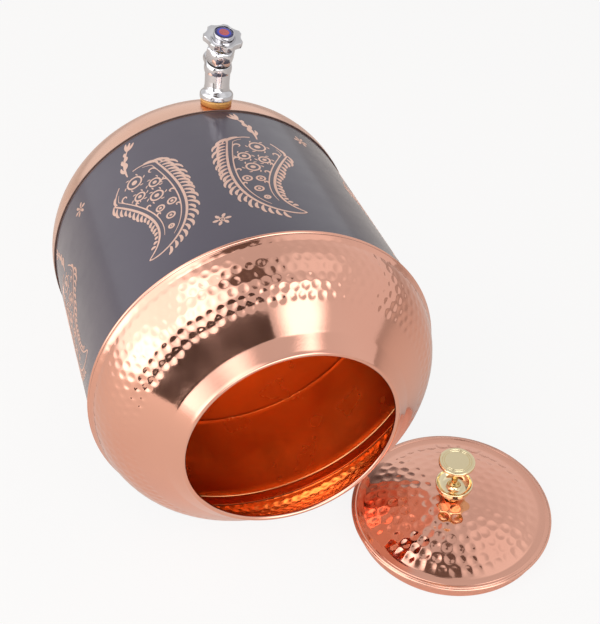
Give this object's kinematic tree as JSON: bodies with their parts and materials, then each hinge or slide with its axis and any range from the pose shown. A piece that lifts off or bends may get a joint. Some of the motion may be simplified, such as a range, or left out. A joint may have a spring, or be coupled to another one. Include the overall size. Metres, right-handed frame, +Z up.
{
  "type": "water dispenser pot",
  "caption": "Round copper water pot lying on its side, with a hammered shoulder, dark body band, screw-down tap and a knobbed lid that lies apart.",
  "frame": {"origin": "middle of the pot's flat bottom", "axes": "+Z up with the pot lying on its side; +Y along the pot's axis, out through its bottom, so the mouth faces -Y; +X towards the side where the lid lies"},
  "size_m": [0.2859, 0.3071, 0.271],
  "materials": {
    "rose_copper": "polished copper, hand-hammered on the shoulder and the lid",
    "dark_lacquered_copper": "satin dark lacquer over sheet copper, bare copper inside",
    "polished_brass": "turned and polished",
    "chrome": "polished plating",
    "steel": "plain",
    "turned_brass": "as turned",
    "amber_rubber": "matt",
    "black_rubber": "matt",
    "blue_plastic": "gloss"
  },
  "bodies": {
    "pot": {"base_pan": "rose_copper", "body_wall": "dark_lacquered_copper", "shoulder": "rose_copper", "tap_body": "chrome", "outer_washer": "amber_rubber", "inner_washer": "amber_rubber", "nut_plate": "steel", "back_nut": "turned_brass", "bonnet": "chrome", "bonnet_gasket": "black_rubber"},
    "lid": {"lid_dome": "rose_copper", "lid_collar": "rose_copper", "lid_knob": "polished_brass", "knob_washer": "steel", "knob_screw": "steel"},
    "valve": {"valve_washer": "black_rubber", "washer_nut": "turned_brass", "jumper": "turned_brass"},
    "handwheel_set": {"spindle": "turned_brass", "spindle_seal": "black_rubber", "handwheel": "chrome", "handle_screw": "steel", "button_bezel": "chrome", "index_button": "blue_plastic"}
  },
  "joints": [
    {"name": "lid_lift", "type": "slide", "parent": "pot", "child": "lid", "axis": [0.5, -0.5, 0.7071], "range_m": [0, 0.25]},
    {"name": "valve_lift", "type": "slide", "parent": "pot", "child": "valve", "axis": [0.1357, -0.2229, 0.9653], "range_m": [0, 0.00375]},
    {"name": "handwheel_turn", "type": "hinge", "parent": "valve", "child": "handwheel_set", "pos_m": [0.01838, -0.02438, 0.13079], "axis": [0.1357, -0.2229, 0.9653], "range_deg": [0, 900]}
  ],
  "couplings": [
    {"joint": "handwheel_turn", "follows": "valve_lift", "rad_per_m": 4188.8}
  ]
}
